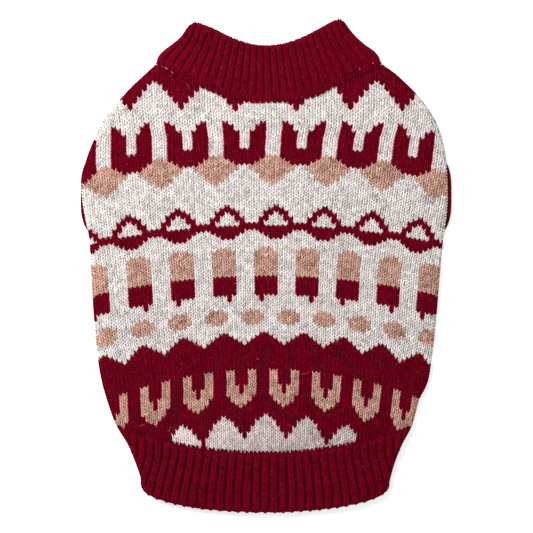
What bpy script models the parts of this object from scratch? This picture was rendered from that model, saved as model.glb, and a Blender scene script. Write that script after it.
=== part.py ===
"""Knitted cat sweater, laid flat on a table with its back panel up.

The collar points to +Y and the hem to -Y. The belly panel rests on z = 0 and the
back panel lies on it. Sizes are in millimetres until a mesh is made.
"""
import math
from collections import namedtuple
from functools import partial

import bmesh
import bpy
import numpy as np

MM = 0.001

# Cloth, mm
WALL = 2.6                # plain knit, with its floats
LAYER_GAP = 0.8           # air between the two layers of the collar and of the hem
SEAM_GAP = 0.3            # between pieces that are sewn together
BACK_TOP = 2 * WALL + SEAM_GAP     # the back panel lies on the belly panel
EDGE_WALL = 0.8           # the back panel's wall where it meets the side seam
EDGE_TOP = WALL + SEAM_GAP + EDGE_WALL
SIDE_FOLD = 8.0           # width over which the back panel rounds down to the side
BELLY_INSET = 1.2         # the belly panel stops this far inside the outline
BELLY_BEVEL = 0.7

# Rib bands, mm
RIB_WALL = 2.3            # wall in the valleys between ribs
RIB_HEIGHT = 1.1
RIB_TOP = 2 * RIB_WALL + LAYER_GAP
BAND_MIDDLE = RIB_TOP / 2
RIB_PROFILE = (0.0, 0.85, 1.0, 0.85)    # share of RIB_HEIGHT at each quarter of a rib
RIB_FADE = 3.0            # ribs sink into the side fold over this width
BAND_FOLD = 4.0           # radius of a band's side fold, seen from above
RIM_DROP = 0.9            # a band's free edge is this much thinner on top
FREE_EDGE_TUCK = 1.5      # the lower layer's free edge hides this far behind the upper one
COLLAR_RIBS = 27          # on the upper layer
HEM_RIBS = 34

# Rows across the garment, as Y at the centre line and the rise from there to the sides, mm
NECK_SEAM_CENTRE = 94.0
NECK_SEAM_RISE = 21.3
COLLAR_EDGE_CENTRE = 125.4
COLLAR_EDGE_RISE = 17.7
COLLAR_TIP_ROUND = 8.0    # how far the outer end of each collar tip is rounded down
COLLAR_TIP_START = 0.85   # share of the half width where that rounding starts
HEM_SEAM_CENTRE = -106.9
HEM_SEAM_RISE = 14.8
HEM_CORNER = -125.0
HEM_EDGE_DROP = 15.2
HEM_SPREAD = 0.19         # ribs crowd towards the hem's lower corners by this share

# Soft swelling of the back panel where the ribbing pulls it in, mm
HEM_PUFF = 0.9
NECK_PUFF = 0.5
PUFF_REACH = 7.0

# Leg holes with their ribbed cuffs, mm
CUFF_X = 82.5
CUFF_Y = 40.5
CUFF_HALF_WIDTH = 23.5
CUFF_HALF_LENGTH = 26.0
CUFF_BAND = 8.0
CUFF_SQUARENESS = 3.2     # exponent of the oval: 2 is an ellipse, more is squarer
CUFF_RIBS = 26
CUFF_VALLEY = 1.9
CUFF_STEPS = 104          # points round the oval, a whole number for each rib
CUFF_FINE_STEPS = 2000    # points that the oval's length is measured with
CUFF_EDGE = 0.7           # rounding of the cuff's upper edges
CUFF_EDGE_LEVEL = 0.55    # share of the height where that rounding starts

# The garment's outline, as the left and right side at each height, from collar tip to hem
Side = namedtuple("Side", "y left right")
OUTLINE = (
    Side(135.1, -46.2, 47.0),
    Side(130.5, -49.6, 51.9),
    Side(126.0, -54.9, 57.2),
    Side(123.0, -58.7, 61.6),
    Side(119.7, -61.6, 64.4),
    Side(115.5, -62.9, 66.0),
    Side(110.6, -67.8, 72.7),
    Side(103.7, -75.2, 80.4),
    Side(94.6, -83.8, 89.0),
    Side(85.5, -91.4, 95.4),
    Side(76.4, -96.3, 99.4),
    Side(67.3, -100.3, 101.8),
    Side(58.1, -103.4, 103.0),
    Side(44.5, -105.4, 103.7),
    Side(30.8, -103.8, 103.3),
    Side(17.1, -101.2, 101.4),
    Side(-5.7, -99.8, 99.2),
    Side(-33.1, -98.0, 96.9),
    Side(-51.3, -96.3, 94.8),
    Side(-69.5, -92.9, 91.0),
    Side(-75.2, -91.2, 87.9),
    Side(-83.2, -88.6, 85.6),
    Side(-92.1, -85.0, 83.0),
    Side(-101.5, -79.2, 78.0),
    Side(-110.6, -75.2, 74.2),
    Side(-119.7, -72.0, 71.4),
    Side(-125.0, -71.0, 70.2),
)

# Mesh steps
BACK_COLUMNS = 30
BACK_ROWS = 36
LINING_COLUMNS = 24       # the back panel's plain inside
LINING_ROWS = 18
BAND_ROWS = (0.0, 0.2, 0.4, 0.6, 0.8, 0.95, 1.0)
BAND_INSIDE_ROWS = (0.0, 0.25, 0.5, 0.75, 1.0)
BAND_LOWER_COLUMNS = 18
BAND_INSIDE_COLUMNS = 20
PANEL_SIDE_POINTS = 30
PANEL_END_POINTS = 18
SMOOTH_ANGLE = math.radians(50)     # flatter edges than this are shaded smooth
BEVEL_ANGLE = math.radians(60)      # sharper edges than this are bevelled

# Colours, as linear RGB
CRIMSON = (0.200, 0.004, 0.014)
OFF_WHITE = (0.745, 0.700, 0.640)
KNIT_ROUGHNESS = 0.95


def side_curves():
    """Arrays of y, left and right, and the slopes of a smooth curve through them."""
    rows = sorted(OUTLINE)
    y = np.array([row.y for row in rows])
    left = np.array([row.left for row in rows])
    right = np.array([row.right for row in rows])
    return y, (left, np.gradient(left, y)), (right, np.gradient(right, y))


OUTLINE_Y, LEFT_CURVE, RIGHT_CURVE = side_curves()


def curve_at(curve, y):
    """X of a side at height y, on the cubic between the two rows around it."""
    value, slope = curve
    y = min(max(y, OUTLINE_Y[0]), OUTLINE_Y[-1])
    i = min(int(np.searchsorted(OUTLINE_Y, y, side="right")) - 1, len(OUTLINE_Y) - 2)
    step = OUTLINE_Y[i + 1] - OUTLINE_Y[i]
    q = (y - OUTLINE_Y[i]) / step
    return float((1 + 2 * q) * (1 - q) ** 2 * value[i] + q * (1 - q) ** 2 * step * slope[i]
                 + q * q * (3 - 2 * q) * value[i + 1] + q * q * (q - 1) * step * slope[i + 1])


def sides(y):
    """Left and right X of the outline at height y."""
    return curve_at(LEFT_CURVE, y), curve_at(RIGHT_CURVE, y)


def across(s, y_side):
    """X at s from -1, left, to 1, right, on the row that starts and ends at y_side."""
    left, right = sides(y_side)
    return left + (right - left) * (s + 1) / 2


def blend(a, b, share):
    return a + (b - a) * share


def arc(s):
    """Shape of the neck rows: 0 at the centre line and 1 at the sides."""
    return s * s * (1.5 - 0.5 * s * s)


def quarter_round(distance, radius):
    """A quarter circle's height: 0 at the edge and 1 from the radius inwards."""
    inside = min(max(distance / radius, 0.0), 1.0)
    return math.sqrt(1 - (1 - inside) ** 2)


def neck_seam(s):
    return NECK_SEAM_CENTRE + NECK_SEAM_RISE * arc(s)


def hem_seam(s):
    return HEM_SEAM_CENTRE + HEM_SEAM_RISE * s * s


def collar_row(s, t):
    """Y on the collar from its seam, t = 0, to its free edge, t = 1."""
    tip = max((abs(s) - COLLAR_TIP_START) / (1 - COLLAR_TIP_START), 0.0) ** 2
    edge = COLLAR_EDGE_CENTRE + COLLAR_EDGE_RISE * arc(s)
    return blend(neck_seam(s), edge, t) - COLLAR_TIP_ROUND * tip * t ** 3


def hem_row(s, t):
    """Y on the hem from its seam, t = 0, to its free edge, t = 1."""
    edge = HEM_CORNER - HEM_EDGE_DROP * math.sqrt(1 - s * s)
    return blend(hem_seam(s), edge, t)


def band_x(row, s, t):
    """X on a band: straight in the middle, and bent along the outline at the sides."""
    seam, here, edge = (sides(row(1.0, at)) for at in (0.0, t, 1.0))
    straight = [blend(seam[side], edge[side], t) for side in (0, 1)]
    side = 1 if s > 0 else 0
    return blend(*straight, (s + 1) / 2) + (here[side] - straight[side]) * s ** 4


def even_ribs(s, t):
    """The collar's ribs spread evenly over its width at every height."""
    return s


def crowded_ribs(s, t):
    """The hem's ribs crowd into its lower corners towards the free edge."""
    return blend(s, (1 + HEM_SPREAD) * s - HEM_SPREAD * s ** 5, t)


def body_plan(s, v):
    """X and Y of a body point from the neck seam, v = 0, to the hem seam, v = 1."""
    y = blend(neck_seam(s) - SEAM_GAP, hem_seam(s) + SEAM_GAP, v)
    y_side = blend(neck_seam(1.0) - SEAM_GAP, hem_seam(1.0) + SEAM_GAP, v)
    return across(s, y_side), y


def puff(distance):
    """A swelling that is 0 at a seam, 1 at PUFF_REACH from it, and fades away."""
    q = max(distance, 0.0) / PUFF_REACH
    return q * math.exp(1 - q)


def back_height(x, y, s):
    """Height of the back panel's outer surface."""
    left, right = sides(y)
    rounded = quarter_round(min(x - left, right - x), SIDE_FOLD)
    swell = HEM_PUFF * puff(y - hem_seam(s)) + NECK_PUFF * puff(neck_seam(s) - y)
    return EDGE_TOP + (BACK_TOP + swell - EDGE_TOP) * rounded


def fabric(name, colour):
    material = bpy.data.materials.new(name)
    material.use_nodes = True
    shader = material.node_tree.nodes["Principled BSDF"]
    shader.inputs["Base Color"].default_value = (*colour, 1.0)
    shader.inputs["Roughness"].default_value = KNIT_ROUGHNESS
    shader.inputs["Metallic"].default_value = 0.0
    return material


def add_object(name, mesh, material, collection):
    item = bpy.data.objects.new(name, mesh)
    mesh.materials.clear()
    mesh.materials.append(material)
    collection.objects.link(item)
    return item


def closed_mesh(name, points, faces):
    """A mesh in metres from points in mm, with its faces turned outwards."""
    form = bmesh.new()
    vertices = [form.verts.new((x * MM, y * MM, z * MM)) for x, y, z in points]
    for face in faces:
        form.faces.new([vertices[i] for i in face])
    bmesh.ops.recalc_face_normals(form, faces=form.faces)
    mesh = bpy.data.meshes.new(name)
    form.to_mesh(mesh)
    form.free()
    mesh.shade_smooth()
    mesh.set_sharp_from_angle(angle=SMOOTH_ANGLE)
    return mesh


def grid_faces(first, columns, rows, closed=False):
    """Quads of a grid of points numbered from first, row by row."""
    faces = []
    for row in range(rows - 1):
        for column in range(columns if closed else columns - 1):
            beside = (column + 1) % columns
            a = first + row * columns
            faces.append((a + column, a + beside, a + columns + beside, a + columns + column))
    return faces


def zip_rings(ring_a, ring_b):
    """Triangles between two closed rings, each a list of (share of the way round, point)."""
    ring_a = ring_a + [(1.0, ring_a[0][1])]
    ring_b = ring_b + [(1.0, ring_b[0][1])]
    faces = []
    a = b = 0
    while a < len(ring_a) - 1 or b < len(ring_b) - 1:
        a_left = a < len(ring_a) - 1
        b_left = b < len(ring_b) - 1
        if not b_left or (a_left and ring_a[a + 1][0] <= ring_b[b + 1][0]):
            faces.append((ring_a[a][1], ring_a[a + 1][1], ring_b[b][1]))
            a += 1
        else:
            faces.append((ring_a[a][1], ring_b[b + 1][1], ring_b[b][1]))
            b += 1
    return faces


def grid_border(first, columns, rows):
    """The border of a grid as a ring for zip_rings; each of its sides is a quarter."""
    top = [first + i for i in range(columns)]
    right = [first + i * columns + columns - 1 for i in range(rows)]
    bottom = [first + (rows - 1) * columns + i for i in reversed(range(columns))]
    left = [first + i * columns for i in reversed(range(rows))]
    ring = []
    for quarter, run in enumerate((top, right, bottom, left)):
        steps = len(run) - 1
        ring += [((quarter + i / steps) / 4, run[i]) for i in range(steps)]
    return ring


def eased(steps):
    """Values from -1 to 1 that crowd towards both ends."""
    return [math.sin(math.pi / 2 * (2 * i / steps - 1)) for i in range(steps + 1)]


def back_panel_mesh():
    """The back panel: a shell that rounds down to both side seams."""
    points = []
    for row in range(BACK_ROWS + 1):
        for s in eased(BACK_COLUMNS):
            x, y = body_plan(s, row / BACK_ROWS)
            points.append((x, y, back_height(x, y, s)))
    inside_first = len(points)
    for row in range(LINING_ROWS + 1):
        for s in eased(LINING_COLUMNS):
            x, y = body_plan(s, row / LINING_ROWS)
            points.append((x, y, max(back_height(x, y, s) - WALL, WALL + SEAM_GAP)))
    outer = (0, BACK_COLUMNS + 1, BACK_ROWS + 1)
    inner = (inside_first, LINING_COLUMNS + 1, LINING_ROWS + 1)
    faces = grid_faces(*outer) + grid_faces(*inner)
    faces += zip_rings(grid_border(*outer), grid_border(*inner))
    return closed_mesh("back_panel", points, faces)


def flat_outline(name, outline, collection):
    """A flat plate of cloth with the given outline, from z = 0 to the wall's height."""
    curve = bpy.data.curves.new(name, "CURVE")
    curve.dimensions = "2D"
    curve.fill_mode = "BOTH"
    curve.extrude = WALL / 2 * MM
    spline = curve.splines.new("POLY")
    spline.points.add(len(outline) - 1)
    for point, (x, y) in zip(spline.points, outline):
        point.co = (x * MM, y * MM, 0.0, 1.0)
    spline.use_cyclic_u = True
    guide = bpy.data.objects.new(name + "_outline", curve)
    guide.location.z = WALL / 2 * MM
    collection.objects.link(guide)
    bpy.context.view_layer.update()
    seen = guide.evaluated_get(bpy.context.evaluated_depsgraph_get())
    mesh = bpy.data.meshes.new_from_object(seen)
    mesh.transform(guide.matrix_world)
    bpy.data.objects.remove(guide)
    form = bmesh.new()
    form.from_mesh(mesh)
    bmesh.ops.remove_doubles(form, verts=form.verts, dist=0.00001)
    bmesh.ops.recalc_face_normals(form, faces=form.faces)
    form.to_mesh(mesh)
    form.free()
    return mesh


def belly_point(s, v):
    """A body point, moved in from the sides by the belly panel's inset."""
    left, right = sides(blend(neck_seam(1.0), hem_seam(1.0), v))
    return body_plan(s * (1 - BELLY_INSET / ((right - left) / 2)), v)


def belly_outline():
    """The belly panel's outline, counter-clockwise from its upper right corner."""
    ends = [2 * i / PANEL_END_POINTS - 1 for i in range(PANEL_END_POINTS + 1)]
    downs = [i / PANEL_SIDE_POINTS for i in range(1, PANEL_SIDE_POINTS)]
    points = [belly_point(s, 0.0) for s in reversed(ends)]
    points += [belly_point(-1.0, v) for v in downs]
    points += [belly_point(s, 1.0) for s in ends]
    points += [belly_point(1.0, v) for v in reversed(downs)]
    return points


def oval(angle, half_width, half_length):
    """A point of a squared oval round the origin."""
    power = 2 / CUFF_SQUARENESS
    x = math.copysign(abs(math.cos(angle)) ** power, math.cos(angle))
    y = math.copysign(abs(math.sin(angle)) ** power, math.sin(angle))
    return half_width * x, half_length * y


def oval_ring(half_width, half_length):
    """Points spaced evenly round a squared oval."""
    fine = [oval(math.tau * i / CUFF_FINE_STEPS, half_width, half_length)
            for i in range(CUFF_FINE_STEPS + 1)]
    steps = np.hypot(np.diff([p[0] for p in fine]), np.diff([p[1] for p in fine]))
    length = np.concatenate(([0.0], np.cumsum(steps)))
    wanted = [length[-1] * i / CUFF_STEPS for i in range(CUFF_STEPS)]
    xs = np.interp(wanted, length, [p[0] for p in fine])
    ys = np.interp(wanted, length, [p[1] for p in fine])
    return list(zip(xs.tolist(), ys.tolist()))


def cuff_mesh(name, side):
    """A ribbed oval band, flat below and ribbed on top and round its outer rim."""
    outer = oval_ring(CUFF_HALF_WIDTH, CUFF_HALF_LENGTH)
    inner = oval_ring(CUFF_HALF_WIDTH - CUFF_BAND, CUFF_HALF_LENGTH - CUFF_BAND)
    steps_per_rib = CUFF_STEPS // CUFF_RIBS
    edge_share = CUFF_EDGE / CUFF_BAND
    points = []
    for share, level in ((0.0, 0.0), (0.0, CUFF_EDGE_LEVEL), (edge_share, 1.0), (0.5, 1.0),
                         (1 - edge_share, 1.0), (1.0, CUFF_EDGE_LEVEL), (1.0, 0.0)):
        for i, (start, end) in enumerate(zip(outer, inner)):
            rib = RIB_PROFILE[i % steps_per_rib] * (WALL - CUFF_VALLEY)
            x = side * (CUFF_X + blend(start[0], end[0], share))
            y = CUFF_Y + blend(start[1], end[1], share)
            points.append((x, y, level * (CUFF_VALLEY + rib)))
    loops = len(points) // CUFF_STEPS
    faces = grid_faces(0, CUFF_STEPS, loops, closed=True)
    last = (loops - 1) * CUFF_STEPS
    for i in range(CUFF_STEPS):
        beside = (i + 1) % CUFF_STEPS
        faces.append((i, beside, last + beside, last + i))
    return closed_mesh(name, points, faces)


def band_ring(row, t, upper, lower, height):
    """One closed section of a flattened tube and each point's share of the way round."""
    left, right = sides(row(1.0, t))
    points = []
    shares = []
    for i, s in enumerate(upper):
        x = band_x(row, s, t)
        points.append((x, row(s, t), height(min(x - left, right - x), i, True)))
        shares.append(0.5 * i / (len(upper) - 1))
    for i, s in enumerate(lower):
        x = band_x(row, s, t)
        y = row(s, t)
        y -= math.copysign(FREE_EDGE_TUCK * t * (1 - s ** 4), y)
        points.append((x, y, height(min(x - left, right - x), i, False)))
        shares.append(0.5 + 0.5 * (i + 1) / (len(lower) + 1))
    return points, shares


def outside_height(distance, index, is_upper, rim):
    """Height of a band's outer surface, at a distance from its side; rim is 1 at the edge."""
    rounded = quarter_round(distance, BAND_FOLD)
    if not is_upper:
        return BAND_MIDDLE * (1 - rounded)
    rib = RIB_HEIGHT * RIB_PROFILE[index % len(RIB_PROFILE)] * min(distance / RIB_FADE, 1.0)
    top = RIB_TOP - RIM_DROP * rim
    return BAND_MIDDLE + (top - BAND_MIDDLE) * rounded + rib * (1 - rim / 2)


def inside_height(distance, index, is_upper):
    """Height of a band's plain inside, which closes at the side folds."""
    half_gap = LAYER_GAP / 2 * min((distance - RIB_WALL) / LAYER_GAP, 1.0)
    return BAND_MIDDLE + (half_gap if is_upper else -half_gap)


def band_mesh(name, row, rib_spread, ribs):
    """A ribbed tube pressed flat, with raised ribs on its upper layer."""
    steps = ribs * len(RIB_PROFILE)
    columns = [2 * i / steps - 1 for i in range(steps + 1)]
    lower = eased(BAND_LOWER_COLUMNS)[-2:0:-1]
    points = []
    for t in BAND_ROWS:
        upper = [rib_spread(s, t) for s in columns]
        rim = 1.0 if t == BAND_ROWS[-1] else 0.0
        ring, outside_shares = band_ring(row, t, upper, lower, partial(outside_height, rim=rim))
        points += ring
    inside_first = len(points)
    for t in BAND_INSIDE_ROWS:
        left, right = sides(row(1.0, t))
        inset = 1 - RIB_WALL / ((right - left) / 2)
        upper = [inset * s for s in eased(BAND_INSIDE_COLUMNS)]
        ring, inside_shares = band_ring(row, t, upper, upper[-2:0:-1], inside_height)
        points += ring
    faces = grid_faces(0, len(outside_shares), len(BAND_ROWS), closed=True)
    faces += grid_faces(inside_first, len(inside_shares), len(BAND_INSIDE_ROWS), closed=True)
    last_outside = (len(BAND_ROWS) - 1) * len(outside_shares)
    last_inside = inside_first + (len(BAND_INSIDE_ROWS) - 1) * len(inside_shares)
    for outside, inside in ((0, inside_first), (last_outside, last_inside)):
        faces += zip_rings([(share, outside + i) for i, share in enumerate(outside_shares)],
                           [(share, inside + i) for i, share in enumerate(inside_shares)])
    return closed_mesh(name, points, faces)


def clear_scene():
    for item in list(bpy.data.objects):
        bpy.data.objects.remove(item)


def new_collection(name):
    collection = bpy.data.collections.new(name)
    bpy.context.scene.collection.children.link(collection)
    return collection


def leg_hole_cutter(name, side, collection):
    """The hole that a leg cuff is sewn into, as a tall prism."""
    ring = oval_ring(CUFF_HALF_WIDTH + SEAM_GAP, CUFF_HALF_LENGTH + SEAM_GAP)
    points = [(side * (CUFF_X + x), CUFF_Y + y, z) for z in (-WALL, 2 * WALL) for x, y in ring]
    faces = grid_faces(0, CUFF_STEPS, 2, closed=True)
    faces.append(tuple(range(CUFF_STEPS)))
    faces.append(tuple(range(2 * CUFF_STEPS - 1, CUFF_STEPS - 1, -1)))
    cutter = bpy.data.objects.new(name, closed_mesh(name, points, faces))
    cutter.hide_render = True
    cutter.display_type = "WIRE"
    collection.objects.link(cutter)
    return cutter


def add_belly_panel(parts, cutters, material):
    """The belly panel: a flat plate with a leg hole cut into each side."""
    panel = add_object("belly_panel", flat_outline("belly_panel", belly_outline(), parts),
                       material, parts)
    for name, side in (("leg_hole_left", -1), ("leg_hole_right", 1)):
        cut = panel.modifiers.new(name, "BOOLEAN")
        cut.operation = "DIFFERENCE"
        cut.object = leg_hole_cutter(name, side, cutters)
    bevel = panel.modifiers.new("edges", "BEVEL")
    bevel.width = BELLY_BEVEL * MM
    bevel.segments = 1
    bevel.limit_method = "ANGLE"
    bevel.angle_limit = BEVEL_ANGLE


def build():
    clear_scene()
    parts = new_collection("cat_sweater")
    cutters = new_collection("cutters")
    white_knit = fabric("off_white_knit", OFF_WHITE)
    add_object("back_panel", back_panel_mesh(), white_knit, parts)
    add_belly_panel(parts, cutters, fabric("belly_knit", OFF_WHITE))
    collar = band_mesh("collar", collar_row, even_ribs, COLLAR_RIBS)
    add_object("collar", collar, fabric("collar_rib", CRIMSON), parts)
    hem = band_mesh("hem_rib", hem_row, crowded_ribs, HEM_RIBS)
    add_object("hem_rib", hem, fabric("hem_rib", CRIMSON), parts)
    for name, side in (("leg_cuff_left", -1), ("leg_cuff_right", 1)):
        add_object(name, cuff_mesh(name, side), fabric(name, CRIMSON), parts)


build()
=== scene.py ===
"""Looks of a knitted cat sweater that lies flat on a pale surface with its back up.

Every knitted piece is a thin ground of cloth with its stitches modelled on it: two yarn
legs for each stitch, laid on the same lattice of wales and rows as the colourwork chart.
Lengths are in millimetres until a mesh is made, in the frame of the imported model.
"""
import math
from collections import namedtuple

import bmesh
import bpy
import numpy as np
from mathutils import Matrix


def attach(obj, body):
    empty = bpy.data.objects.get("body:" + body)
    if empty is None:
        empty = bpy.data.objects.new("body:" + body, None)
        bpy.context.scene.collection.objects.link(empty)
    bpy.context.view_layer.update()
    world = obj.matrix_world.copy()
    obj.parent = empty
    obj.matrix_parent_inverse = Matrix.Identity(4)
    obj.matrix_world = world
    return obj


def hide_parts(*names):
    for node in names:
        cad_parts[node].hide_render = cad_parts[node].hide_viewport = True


MM = 0.001
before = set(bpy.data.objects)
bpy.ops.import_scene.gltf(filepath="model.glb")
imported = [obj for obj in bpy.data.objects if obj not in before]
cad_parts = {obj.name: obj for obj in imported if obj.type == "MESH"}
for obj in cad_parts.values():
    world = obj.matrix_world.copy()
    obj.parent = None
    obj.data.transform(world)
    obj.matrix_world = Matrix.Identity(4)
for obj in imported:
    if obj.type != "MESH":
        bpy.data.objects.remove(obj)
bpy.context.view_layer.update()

# Cloth and layers, as in the solids
WALL = 2.6
SEAM_GAP = 0.3
BACK_TOP = 2 * WALL + SEAM_GAP
EDGE_STEP = 0.8           # at its very edge the back panel stands this far over the seam's gap
EDGE_TOP = WALL + SEAM_GAP + EDGE_STEP
SIDE_FOLD = 8.0
HEM_PUFF = 0.9
NECK_PUFF = 0.5
PUFF_REACH = 7.0
RIB_WALL = 2.3
BAND_GAP = 0.8
RIB_TOP = 2 * RIB_WALL + BAND_GAP
BAND_MIDDLE = RIB_TOP / 2
BAND_FOLD = 4.0
RIM_DROP = 0.9
RIB_FADE = 3.0
FREE_EDGE_TUCK = 1.5
COLLAR_RIBS = 27
HEM_RIBS = 34
NECK_SEAM_CENTRE = 94.0
NECK_SEAM_RISE = 21.3
COLLAR_EDGE_CENTRE = 125.4
COLLAR_EDGE_RISE = 17.7
COLLAR_TIP_ROUND = 8.0
COLLAR_TIP_START = 0.85
LEFT_TIP_DROP = 2.0       # the collar's left tip hangs this much lower than the right one
LEFT_TIP_START = 0.6
LEFT_TIP_SPAN = 0.3
HEM_SEAM_CENTRE = -106.9
HEM_SEAM_RISE = 14.8
HEM_CORNER = -125.0
HEM_EDGE_DROP = 15.2
CUFF_X = 82.5
CUFF_Y = 40.5
CUFF_HALF_WIDTH = 23.5
CUFF_HALF_LENGTH = 26.0
CUFF_BAND = 8.0
CUFF_SQUARENESS = 3.2
CUFF_RIBS = 26
BELLY_INSET = 1.2

# Columns: y, and the x of the left and of the right side there
OUTLINE = np.array((
    (-125.0, -71.0, 70.2), (-119.7, -72.0, 71.4), (-110.6, -75.2, 74.2), (-101.5, -79.2, 78.0),
    (-92.1, -85.0, 83.0), (-83.2, -88.6, 85.6), (-75.2, -91.2, 87.9), (-69.5, -92.9, 91.0),
    (-51.3, -96.3, 94.8), (-33.1, -98.0, 96.9), (-5.7, -99.8, 99.2), (17.1, -101.2, 101.4),
    (30.8, -103.8, 103.3), (44.5, -105.4, 103.7), (58.1, -103.4, 103.0), (67.3, -100.3, 101.8),
    (76.4, -96.3, 99.4), (85.5, -91.4, 95.4), (94.6, -83.8, 89.0), (103.7, -75.2, 80.4),
    (110.6, -67.8, 72.7), (115.5, -62.9, 66.0), (119.7, -61.6, 64.4), (123.0, -58.7, 61.6),
    (126.0, -54.9, 57.2), (130.5, -49.6, 51.9), (135.1, -46.2, 47.0),
)).T
OUTLINE_Y = OUTLINE[0]
SIDE_CURVES = tuple((values, np.gradient(values, OUTLINE_Y)) for values in OUTLINE[1:])


# The knitted fabric: its gauge changes down the back, and its rows sag towards the sides
ROW_PITCH = 1.693
FIRST_ROW_Y = 81.9        # top of row 0, the first row of the upper U motifs
SAG_HALF_WIDTH = 94.0     # the sags below are measured this far from the centre line
# Columns: y, the centre line there, the pitch of the wales, how much they squeeze together away
# from it, and the left stretch
GAUGE = np.array((
    (-106.0, -0.4, 2.31, 0.00004, 3.0), (-91.0, -0.3, 2.37, 0.00003, 3.4),
    (-66.0, 0.8, 2.42, 0.00002, 3.4), (-42.0, 0.3, 2.51, 0.0, 3.4),
    (-28.0, 0.1, 2.545, 0.0, 3.4), (-2.0, 0.1, 2.61, 0.0, 3.2),
    (24.5, 0.1, 2.75, 0.000004, 2.2), (60.0, 0.7, 2.905, 0.000004, 1.0),
    (73.0, 1.3, 2.98, 0.00002, 0.4), (79.7, 1.7, 3.12, 0.00006, 0.0),
    (92.0, 1.4, 3.17, 0.00006, 0.0), (116.0, 1.2, 3.17, 0.00006, 0.0),
)).T
STRETCH_WALE = -33.5      # the left stretch is how far outside its place this wale lies
# Columns: level of a row on the centre line, how far it drops towards the sides, and a further
# drop that sets in close to them
SAG = np.array((
    (-106.6, 31.4, 0.0), (-83.8, 25.1, 0.0), (-58.1, 18.8, 0.0), (-38.8, 14.3, 0.0),
    (-28.5, 12.3, 0.0), (-6.3, 10.3, 0.0), (21.7, 9.4, 0.0), (46.2, 8.0, 0.0),
    (57.6, 7.1, 1.5), (82.7, 0.6, 4.5), (85.5, -2.0, 6.0), (89.0, -5.0, 9.0),
)).T

# Colourwork. A band repeats its rows across the wales: a dot is off-white, R crimson, B beige
WHITE, CRIMSON, BEIGE = 0, 1, 2
YARN_CODES = {".": WHITE, "R": CRIMSON, "B": BEIGE}
YOKE_POINTS = (-36, -26, -16, -6, 5, 15, 25, 35)      # wales where the crimson yoke points down
YOKE_POINT_ROW = -4       # the first white row under a point
YOKE_SLOPE = 2            # rows that it rises with each wale away from a point
YOKE_PEAK_ROW = -13
Band = namedtuple("Band", "first_row first_wale rows")
BANDS = (
    Band(0, -8, ("R......R...",) + ("RR....RR...",) * 2 + ("RRR..RRR...",) * 6
         + ("RRRRRRRR...",) * 2 + ("RRRRRRRRBBB", "BRRRRRRBBBB", "BBRRRRBBBBB")
         + ("BBB..BBBBBB",) * 2 + ("BB....BBBBB",) + ("B......BBBB",) * 2
         + ("........BBB", ".........B.")),
    Band(28, -1, ("...R......", "..RRR.....", ".RR.RR....", ".R...R....", "RR...RR...",
                  "R.....R...", "R.....RRRR", "RRRRRRRRRR", "RRRRRRR...", ".RRRRR....",
                  "..RRR.....")),
    Band(42, -2, (".BBB......BBB.....",) + ("BBBBB....BBBBB....",) * 9
         + ("RRRRR....RRRRR....",) * 6 + (".R..........R.....",) * 2),
    Band(63, -5, (".BBB....",) + ("BBBBB...",) * 3 + (".BBB....",)),
    Band(71, -1, ("RR.......", "RRR.....R", "RRRR...RR", "RRRRR.RRR")),
    Band(75, 0, ("R",) * 8),
    Band(83, 1, ("BBRRRBBRRR",) * 5 + ("BBBRBBBRRR",) * 3 + ("BBBBBBBRRR",)
         + ("RBBBBBRRRR",) * 2 + ("RRBBBRRRRR", "RRRBRRRRRR")),
    Band(96, 0, ("R",) * 2),
    Band(98, -5, ("RRRRR.RRRR", "RRRR...RRR") + ("RRR.....RR",) * 2
         + ("RR.......R",) * 2 + ("R.........",) * 2),
)
TRIANGLE_ROW = 98         # from this row down, white shows only this many wales to each side
TRIANGLE_WALES = 22
TRIANGLE_GAP_WALE = -15   # here the crimson between two triangles runs on to the hem
YOKE_FLANK = ((12, -12), (13, -9))       # first white rows of a steeper flank
CHART_TOP = -40
CHART_ROWS = 170
CHART_LEFT = -60
CHART_WALES = 120

# A stitch is two legs that rise side by side and part, as in plain knitting. Each ring gives
# how far below the stitch's top line it is in rows, its offset from the wale's middle and its
# half width in wales, and how far its top stands over the bed of the stitches in mm
LEG = np.array((
    (1.24, 0.07, 0.11, 0.10), (0.92, 0.13, 0.17, 0.46), (0.52, 0.235, 0.20, 0.62),
    (0.10, 0.335, 0.19, 0.46), (-0.36, 0.39, 0.11, -0.12),
)).T
BOLD_LEG = np.array((
    (1.50, 0.13, 0.17, 0.30), (1.14, 0.18, 0.21, 0.60), (0.56, 0.28, 0.23, 0.70),
    (0.04, 0.35, 0.21, 0.62), (-0.46, 0.38, 0.15, 0.18),
)).T
RIB_LEG = np.array((
    (1.50, 0.09, 0.12, 0.10), (1.12, 0.14, 0.20, 0.50), (0.56, 0.24, 0.25, 0.64),
    (0.05, 0.30, 0.25, 0.52), (-0.52, 0.31, 0.16, -0.06),
)).T
COARSE_LEG = LEG[:, ::2]
PURL_BAR = np.array((
    (0.34, 0.22, 0.10, 0.05), (0.50, 0.16, 0.20, 0.45), (0.66, 0.22, 0.10, 0.05),
)).T
LEG_BASE = -0.12          # the legs start this far over the bed, so their edges sink into it
LEG_LEAST = 0.02          # least height of a ring over that
TIP_TUCK = 0.40           # above a crimson stitch, the lower tips stop this many rows sooner
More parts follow.
